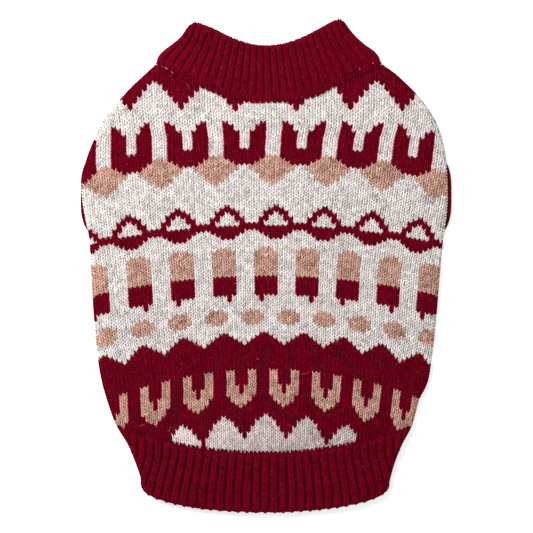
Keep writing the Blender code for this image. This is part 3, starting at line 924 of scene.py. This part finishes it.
RIB_COVER = 0.66          # share of a rib's pitch that its knit wale covers
RIB_BED = 0.45            # the bed of a rib's stitches lies this far inside its surface
RIB_FLAT = 1.25           # how flat the tops of the ribs are, and how steep their sides
RIB_POWER = 0.9
PLAIN_WAVE = 0.6          # height of the cloth where the ribs fade out, as a share of a rib
JOIN_PLAIN = 0.2          # share of that fade that stays plain beside the seam
RIB_AT_SIDE = 0.35        # share of a rib's height that is left at the sides
LOWER_RIB = 0.35          # height of the ribs of the underside
BAND_CROWD = 0.3          # share by which a band's points crowd towards the sides
INSIDE_FOLD = 2.0
STEPS_PER_RIB = 8
BAND_SHARES = 16
HEM_RIB_MIDDLE = 2.2      # a groove of the hem runs this far right of the origin
HEM_PITCH_LEVELS = (108.0, 130.8)         # the hem's ribs are this far apart at these depths
HEM_PITCHES = (4.70, 5.16)
BAND_MARGIN = 0.975       # stitches keep within this share of a band's half width

Tube = namedtuple("Tube", "name row count phase_at join_fade rim rib_height")


def collar_phase(s, x, y):
    return COLLAR_RIBS * (s + 1) / 2


def hem_phase(s, x, y):
    """Rib number at x, y: the hem's ribs run almost straight down and turn under at the sides."""
    return HEM_RIBS / 2 + (x - HEM_RIB_MIDDLE) / np.interp(-y, HEM_PITCH_LEVELS, HEM_PITCHES)


COLLAR = Tube("collar", collar_row, COLLAR_RIBS, collar_phase, join_fade=5.0, rim=1.4,
              rib_height=1.1)
HEM = Tube("hem_rib", hem_row, HEM_RIBS, hem_phase, join_fade=2.6, rim=2.4, rib_height=1.7)


def band_plan(row, s, t):
    """X and Y on a band, where t runs from its seam to its free edge."""
    seam, here, edge = (sides(row(np.array(1.0), at)) for at in (0.0, t, 1.0))
    straight = [blend(seam[side], edge[side], t) for side in (0, 1)]
    bulge = np.where(s > 0, here[1] - straight[1], here[0] - straight[0])
    return blend(straight[0], straight[1], (s + 1) / 2) + bulge * s ** 4, row(s, t)


def band_depth(tube, s):
    """Length of a rib from seam to free edge."""
    return np.abs(tube.row(s, 1.0) - tube.row(s, 0.0))


def rib_share(tube, phase, t):
    """S of the rib line of that phase, at t."""
    t = np.clip(t, 0, 1)
    s = 2 * phase / tube.count - 1
    for _ in range(SETTLE_STEPS):
        x, y = band_plan(tube.row, np.clip(s, -1, 1), t)
        s = s + (phase - tube.phase_at(s, x, y)) * 2 / tube.count
    return s


def rib_wave(phase):
    """Height of a rib from 0 in the valleys, at whole numbers, to 1 on its rounded top."""
    return np.clip(np.abs(np.sin(phase * math.pi)) * RIB_FLAT, 0, 1) ** RIB_POWER


def band_point(tube, s, t, upper=True, depth=0.0, ribs=True):
    """A point on the outside of a band, or depth inside it."""
    inside = np.clip(t, 0, 1)
    s = np.clip(s, -1, 1)
    x, y = band_plan(tube.row, s, inside)
    phase = tube.phase_at(s, x, y)
    left, right = sides(tube.row(np.array(1.0), inside))
    distance = np.clip(np.minimum(x - left, right - x), 0, None)
    rounded = quarter_round(distance, BAND_FOLD)
    length = band_depth(tube, s)
    from_edge = (1 - inside) * length
    rim = np.clip(1 - from_edge / tube.rim, 0, 1) ** 2
    fade = np.clip(inside * length / tube.join_fade - JOIN_PLAIN, 0, 1)
    fade = fade * np.clip(from_edge / tube.rim, 0, 1)
    wave = rib_wave(phase) * np.clip(distance / RIB_FADE, 0, 1)
    wave = blend(PLAIN_WAVE, wave, fade) if ribs else 0.0
    if upper:
        crest = RIB_TOP - RIM_DROP * rim - BAND_MIDDLE
        rib = tube.rib_height * wave * blend(RIB_AT_SIDE, 1, rounded)
        z = BAND_MIDDLE + crest * rounded + rib - depth
    else:
        y = y - np.sign(y) * FREE_EDGE_TUCK * inside * (1 - s ** 4)
        z = BAND_MIDDLE * (1 - rounded) + LOWER_RIB * (1 - wave) * rounded + depth
    y = y + (t - inside) * (tube.row(s, 1.0) - tube.row(s, 0.0))
    return np.stack([x, y, z], axis=-1)


def make_band_ground(tube):
    """The ground of a ribbed tube pressed flat: outside with ribs, inside plain."""
    columns = tube.count * STEPS_PER_RIB
    even = np.linspace(-1, 1, columns + 1)
    s = blend(even, np.sin(even * math.pi / 2), BAND_CROWD)
    s_low = s[-2:0:-1]
    shares = np.linspace(0, 1, BAND_SHARES)
    rings = [np.concatenate([band_point(tube, s, t, depth=RIB_BED),
                             band_point(tube, s_low, t, upper=False, depth=RIB_BED)])
             for t in shares]
    for t in shares[::-1]:
        ring = np.concatenate([band_point(tube, s, t, ribs=False),
                               band_point(tube, s_low, t, upper=False, ribs=False)])
        x, y, _ = ring.T
        left, right = sides(tube.row(np.array(1.0), t))
        middle = (left + right) / 2
        half = (right - left) / 2
        x = middle + (x - middle) * (1 - RIB_WALL / half)
        above = np.where(np.arange(len(x)) <= columns, 1, -1)
        spare = quarter_round(half - np.abs(x - middle) - RIB_WALL, INSIDE_FOLD)
        rings.append(np.stack([x, y, BAND_MIDDLE + above * BAND_GAP / 2 * spare], axis=-1))
    around = len(rings[0])
    ring, point = np.meshgrid(np.arange(len(rings)), np.arange(around), indexing="ij")
    ahead = (point + 1) % around
    after = (ring + 1) % len(rings)
    faces = np.stack([ring * around + point, after * around + point, after * around + ahead,
                      ring * around + ahead], axis=-1).reshape(-1, 4)
    if tube is COLLAR:
        faces = faces[:, ::-1]
    item = make_object(tube.name + "_ground", np.concatenate(rings), [faces], crimson_ground)
    return finish_piece(item, "crimson_yarn", tube.name)


def row_share(tube, row, rows):
    """T of a row: rows count downwards, so from the free edge on the collar."""
    return row / rows if tube is HEM else 1 - row / rows


def ribs_by_rows(tube, phases):
    """The rib lines sorted by how many rows of stitches each has, and their rows."""
    middle = rib_share(tube, phases, np.full(len(phases), 0.5))
    rows_each = np.round(band_depth(tube, np.clip(middle, -1, 1)) / ROW_PITCH).astype(int)
    for rows in np.unique(rows_each):
        span = np.arange(1, rows) if tube is HEM else np.arange(rows - 1)
        phase, row = np.meshgrid(phases[rows_each == rows], span.astype(float))
        phase = phase.ravel()
        row = row.ravel()
        keep = np.abs(rib_share(tube, phase, row_share(tube, row + 0.5, rows))) < BAND_MARGIN
        yield rows, phase[keep], row[keep]


def make_band_stitches(tube, upper):
    """A knit wale on every rib, from the seam to the free edge."""
    parts = []
    for rows, phase, row in ribs_by_rows(tube, np.arange(tube.count) + 0.5):
        def surface(a, b, rows=rows):
            t = row_share(tube, b, rows)
            return band_point(tube, rib_share(tube, a, t), t, upper, RIB_BED)

        parts.append(layer_knit(surface, phase, row, upper, RIB_LEG, spread=RIB_COVER,
                                hollow_shade=RIB_SHADE))
    return parts


PURL_RISE = 0.25


def make_purls(tube):
    """A small bar across every valley for each row, like the purl side between two ribs."""
    parts = []
    for rows, phase, row in ribs_by_rows(tube, np.arange(1.0, tube.count)):
        def turned(a, b, rows=rows):
            t = row_share(tube, a, rows)
            return band_point(tube, rib_share(tube, b, t), t, depth=RIB_BED)

        parts.append(knit(turned, row + 0.5, phase - 0.5, PURL_BAR, around=3, rise=PURL_RISE,
                          facing=-1, hollow_shade=PURL_SHADE))
    return parts


CHAIN_PITCH = 2.5         # length of a stitch of the chain along a free edge
CHAIN_WIDTH = 1.2         # its width, in widths of the rim
CHAIN_INSET = 0.45        # how far inside the edge it lies, in widths of the rim
CHAIN_RISE = 0.8
CHAIN_BED = RIB_BED - 0.1
RIM_SAMPLES = 300


def make_rim(tube, upper):
    """The bound-off edge: a row of stitches laid end to end along the free edge."""
    s = np.linspace(-1, 1, RIM_SAMPLES)
    run = measured(*band_plan(tube.row, s, np.ones(RIM_SAMPLES)))
    rows = np.arange(int(run[-1] / CHAIN_PITCH)).astype(float)
    width = CHAIN_WIDTH * tube.rim * (-1 if tube is HEM else 1)

    def surface(a, b):
        s_here = np.interp(b * CHAIN_PITCH, run, s)
        from_edge = tube.rim * CHAIN_INSET - a * width
        return band_point(tube, s_here, 1 - from_edge / band_depth(tube, s_here), upper, CHAIN_BED)

    return layer_knit(surface, np.zeros(len(rows)), rows, upper, RIB_LEG, rise=CHAIN_RISE,
                      around=5, hollow_shade=BOLD_SHADE)


UNDER_BED = 0.62          # height of the bed of the joining stitches of the underside


def make_join(join, upper):
    """The rows that join a band to the body, on the side that shows or on the one that rests."""
    def plan(wale, row):
        x = wale_x(wale, *gauge_at(join.start_y))
        for _ in range(PLAN_STEPS):
            y = join_middle(join, x) + ROW_PITCH * (JOIN_ROWS / 2 - row)
            x = wale_x(wale, *gauge_at(y))
        return x, y

    def surface(wale, row):
        x, y = plan(wale, row)
        z = back_height(x, y) + join.lift if upper else np.full_like(x, UNDER_BED)
        return np.stack([x, y, z], axis=-1)

    wale, row = np.meshgrid(np.arange(-JOIN_WALES, JOIN_WALES + 1.0), np.arange(JOIN_ROWS + 0.0))
    inside = within_sides(*plan(wale, row + 0.5))
    return layer_knit(surface, wale[inside], row[inside], upper, BOLD_LEG,
                      hollow_shade=BOLD_SHADE)


# --- cuffs

CUFF_ROWS = 5
CUFF_TOP_BED = 2.15
CUFF_LOW = 0.45
CUFF_EDGE_INSET = 0.35
CUFF_COVER = 0.8          # share of a cuff rib's pitch that its knit wale covers
OVAL_SAMPLES = 2001


def oval_line(half_width, half_length):
    """X and Y of a squared oval round the origin at even shares of its length."""
    angle = np.linspace(0, 2 * math.pi, OVAL_SAMPLES)
    power = 2 / CUFF_SQUARENESS
    x = half_width * np.sign(np.cos(angle)) * np.abs(np.cos(angle)) ** power
    y = half_length * np.sign(np.sin(angle)) * np.abs(np.sin(angle)) ** power
    run = measured(x, y)
    return run / run[-1], x, y


def make_cuff_stitches(side):
    """Ribs across a leg cuff, on the side that rests and on the side in the garment."""
    outer = oval_line(CUFF_HALF_WIDTH - CUFF_EDGE_INSET, CUFF_HALF_LENGTH - CUFF_EDGE_INSET)
    inner = oval_line(CUFF_HALF_WIDTH - CUFF_BAND, CUFF_HALF_LENGTH - CUFF_BAND)
    rib, row = np.meshgrid(np.arange(CUFF_RIBS) + 0.5, np.arange(CUFF_ROWS).astype(float))
    parts = []
    for bed, facing in ((CUFF_TOP_BED, -side), (UNDER_BED, side)):
        def surface(a, b, bed=bed):
            share = (a / CUFF_RIBS) % 1.0
            across = np.clip(b / CUFF_ROWS, 0, 1)
            x, y = (blend(np.interp(share, outer[0], outer[axis]),
                          np.interp(share, inner[0], inner[axis]), across) for axis in (1, 2))
            return np.stack([side * (CUFF_X + x), CUFF_Y + y, np.full_like(x, bed)], axis=-1)

        parts.append(knit(surface, rib.ravel(), row.ravel(), COARSE_LEG, spread=CUFF_COVER,
                          around=3, facing=facing, hollow_shade=BOLD_SHADE))
    return parts


# --- fuzz and loose hairs

BACK_FUZZ = 5200
BAND_FUZZ = 700
HAIR_SIDES = 3
HAIR_RINGS = 4
HAIR_ARCH = 0.7           # a hair rises and sinks along this share of half a wave
HAIR_TAPER = 0.6
FUZZ_RADIUS = 0.05
FUZZ_LENGTHS = (0.9, 2.6)
FUZZ_LIFT = (0.3, 0.75)
FUZZ_BEND = 1.3
FUZZ_X = (-104, 104)      # where fuzz is strewn over the back
FUZZ_Y = (-106, 112)
FUZZ_MARGIN = 1
FUZZ_SINK = 0.2
BAND_FUZZ_S = (-0.97, 0.97)
BAND_FUZZ_T = (0.02, 0.98)
BAND_FUZZ_SINK = 0.3


def hair_points(x, y, z, heading, length, bend, lift, radius):
    """Rings of thin tubes that start at x, y, z, turn sideways by bend and rise by lift."""
    along = np.linspace(0, 1, HAIR_RINGS)[None, :]
    angle = heading[:, None] + bend[:, None] * along
    step = length[:, None] / (HAIR_RINGS - 1)
    path_x = x[:, None] + np.cumsum(np.cos(angle) * step, axis=1)
    path_y = y[:, None] + np.cumsum(np.sin(angle) * step, axis=1)
    path_z = z[:, None] + lift[:, None] * np.sin(along * math.pi * HAIR_ARCH)
    turn = np.arange(HAIR_SIDES) * 2 * math.pi / HAIR_SIDES
    thick = radius * (1 - HAIR_TAPER * along)
    out = thick[..., None] * np.cos(turn)
    rise = thick[..., None] * np.sin(turn)
    return np.stack([path_x[..., None] - np.sin(angle)[..., None] * out,
                     path_y[..., None] + np.cos(angle)[..., None] * out,
                     path_z[..., None] + rise], axis=-1).reshape(-1, 3)


def make_hairs(name, material, slot, *shape):
    """A piece of hairs; shape is what hair_points takes."""
    points = hair_points(*shape)
    faces = strand_faces(len(shape[0]), HAIR_RINGS, HAIR_SIDES, closed=True)
    item = make_object(name, points, [faces], material)
    set_values(item, "shade", RANDOM.normal(0, 1, len(points)))
    return finish_piece(item, slot)


def make_fuzz(name, x, y, z, heading, material, slot):
    """Short loose fibres that lie over the stitches."""
    count = len(x)
    return make_hairs(name, material, slot, x, y, z, heading, RANDOM.uniform(*FUZZ_LENGTHS, count),
                      RANDOM.normal(0, FUZZ_BEND, count), RANDOM.uniform(*FUZZ_LIFT, count),
                      FUZZ_RADIUS)


def make_back_fuzz(count):
    """Fibres over the back, each in the yarn of the stitch that it comes from."""
    x = RANDOM.uniform(*FUZZ_X, count)
    y = RANDOM.uniform(*FUZZ_Y, count)
    left, right = sides(y)
    inside = (x > left + FUZZ_MARGIN) & (x < right - FUZZ_MARGIN)
    inside &= (y < neck_seam_at(x)) & (y > hem_seam_at(x))
    x = x[inside]
    y = y[inside]
    heading = RANDOM.uniform(0, 2 * math.pi, len(x))
    code = body_yarn(x, y)
    end = body_yarn(x + FUZZ_LENGTHS[1] * np.cos(heading), y + FUZZ_LENGTHS[1] * np.sin(heading))
    code = np.where((code == end) | (code == CRIMSON), code, -1)
    z = back_height(x, y) - FUZZ_SINK
    made = []
    for yarn, material in ((WHITE, white_yarn), (CRIMSON, crimson_fuzz), (BEIGE, beige_yarn)):
        chosen = code == yarn
        made.append(make_fuzz(f"fuzz_{YARN_NAMES[yarn]}", x[chosen], y[chosen], z[chosen],
                              heading[chosen], material, f"{YARN_NAMES[yarn]}_yarn"))
    return made


def make_band_fuzz(tube, count):
    s = RANDOM.uniform(*BAND_FUZZ_S, count)
    x, y, z = band_point(tube, s, RANDOM.uniform(*BAND_FUZZ_T, count)).T
    heading = RANDOM.uniform(0, 2 * math.pi, count)
    return make_fuzz(tube.name + "_fuzz", x, y, z - BAND_FUZZ_SINK, heading, crimson_fuzz,
                     "crimson_yarn")


# Hairs and bits of fluff. Columns: x and y of the start, heading in degrees, length, bend and
# thickness
FLUFF = np.array((
    (-60.6, 114.7, -32, 1.7, 0.0, 0.17), (-57.9, 113.2, -30, 1.7, 0.0, 0.17),
    (-54.8, 111.4, -42, 2.1, 0.0, 0.17), (53.0, 112.0, 20, 0.6, 0.0, 0.20),
    (60.5, 115.4, 20, 0.6, 0.0, 0.20), (42.3, 108.4, 40, 0.5, 0.0, 0.11),
    (-52.4, -97.2, -20, 1.3, 0.4, 0.24),
)).T
LOOSE_HAIRS = np.array((
    (-6.0, -53.2, 30, 1.9, -1.6, 0.11), (47.6, -105.7, -48, 12.0, -0.1, 0.07),
    (55.3, -115.0, -58, 13.0, -0.15, 0.06), (19.0, -60.5, -30, 5.0, 1.2, 0.07),
    (37.0, -44.0, 200, 5.5, -1.0, 0.07), (-57.0, -95.0, 30, 4.0, 1.0, 0.07),
    (-72.6, -92.5, 60, 3.6, -1.2, 0.08), (-47.0, 104.5, -25, 5.0, -0.9, 0.07),
    (66.0, 82.0, 100, 4.4, 0.8, 0.07),
)).T
LOOSE_HEIGHT = 0.75       # loose hairs start this far over the fabric
LOOSE_LIFT = 0.25


def make_loose(name, list_of_hairs, material, slot):
    x, y, heading, length, bend, thick = list_of_hairs
    return make_hairs(name, material, slot, x, y, back_height(x, y) + LOOSE_HEIGHT,
                      np.radians(heading), length, bend, np.full(len(x), LOOSE_LIFT),
                      thick[:, None])


# --- surroundings

FRAME_WIDTH = 303.8       # what the picture's width covers at the cloth
CAMERA_HEIGHT = 1600.0
PICTURE_MIDDLE = 0.285    # the picture's middle lies this far right of the origin and below it
SENSOR = 36.0
FLOOR_SIZE = 6.0          # metres
FLOOR_DROP = 0.02         # the floor lies this far under what rests on it
Light = namedtuple("Light", "name place size power")      # metres and watts
LIGHTS = (Light("key", (-0.50, 0.52, 0.70), size=0.5, power=13.4),
          Light("fill", (0.9, -0.4, 0.8), size=1.2, power=3.0))
WORLD_LIGHT = 0.42


def make_camera():
    camera = bpy.data.cameras.new("camera")
    camera.sensor_width = SENSOR
    camera.lens = SENSOR * CAMERA_HEIGHT / FRAME_WIDTH
    item = bpy.data.objects.new("camera", camera)
    item.location = (PICTURE_MIDDLE * MM, -PICTURE_MIDDLE * MM, (CAMERA_HEIGHT + BACK_TOP) * MM)
    bpy.context.scene.collection.objects.link(item)
    bpy.context.scene.camera = item


def make_floor():
    bpy.ops.mesh.primitive_plane_add(size=FLOOR_SIZE, location=(0, 0, -FLOOR_DROP * MM))
    item = bpy.context.object
    item.name = "floor"
    material = bpy.data.materials.new("floor")
    material.use_nodes = True
    shader = material.node_tree.nodes["Principled BSDF"]
    for socket, value in (("Base Color", (0.9, 0.9, 0.9, 1)), ("Roughness", 0.9),
                          ("Specular IOR Level", 0.1), ("Emission Color", (1, 1, 1, 1)),
                          ("Emission Strength", 0.5)):
        shader.inputs[socket].default_value = value
    item.data.materials.append(material)


def make_light(name, place, size, power):
    """A square soft light that looks at the middle of the garment."""
    light = bpy.data.lights.new(name, "AREA")
    light.size = size
    light.energy = power
    item = bpy.data.objects.new(name, light)
    item.location = place
    aim = -np.array(place)
    tilt = math.acos(-aim[2] / np.linalg.norm(aim))
    item.rotation_euler = (tilt, 0, math.atan2(aim[1], aim[0]) - math.pi / 2)
    bpy.context.scene.collection.objects.link(item)


def make_world():
    world = bpy.data.worlds.new("studio")
    world.use_nodes = True
    background = world.node_tree.nodes["Background"]
    background.inputs["Color"].default_value = (1, 1, 1, 1)
    background.inputs["Strength"].default_value = WORLD_LIGHT
    bpy.context.scene.world = world


# --- build

make_camera()
make_floor()
make_world()
for lamp in LIGHTS:
    make_light(*lamp)
bpy.context.scene.view_settings.view_transform = "Standard"

back_ground = make_back_ground()
back_stitches = make_back_stitches() + make_side_folds() + make_back_fuzz(BACK_FUZZ)
back_stitches += [make_loose("fluff", FLUFF, white_yarn, "white_yarn"),
                  make_loose("loose_hairs", LOOSE_HAIRS, pale_hair, "crimson_yarn")]

belly_ground = copied_ground("belly_ground", "belly_panel", BELLY_BED, WALL, white_ground_shade)
finish_piece(belly_ground, "white_yarn", "belly_panel")
belly_pieces = make_belly_stitches()
belly_pieces += [make_belly_zone("belly_crimson_top", BELLY_WHITE_ROWS[0], neck_seam_at),
                 make_belly_zone("belly_crimson_foot", BELLY_WHITE_ROWS[1], hem_seam_at)]

for tube, flat, join in ((COLLAR, (0.27, 0.0297), LINK), (HEM, (0.31, 0.036), FOOT)):
    ground = make_band_ground(tube)
    pieces = [finish_knit(tube.name + "_upper", make_band_stitches(tube, True)),
              finish_knit(tube.name + "_lower", make_band_stitches(tube, False)),
              finish_knit(tube.name + "_purls", make_purls(tube)),
              finish_knit(tube.name + "_rim", [make_rim(tube, upper) for upper in (True, False)]),
              finish_knit(tube.name + "_join", [make_join(join, upper) for upper in (True, False)]),
              make_band_fuzz(tube, BAND_FUZZ)]

for side, name in ((-1, "left"), (1, "right")):
    node = f"leg_cuff_{name}"
    ground = copied_ground(node + "_ground", node, CUFF_LOW, WALL, crimson_ground)
    finish_piece(ground, "crimson_yarn", node)
    stitches = finish_knit(node + "_stitches", make_cuff_stitches(side))
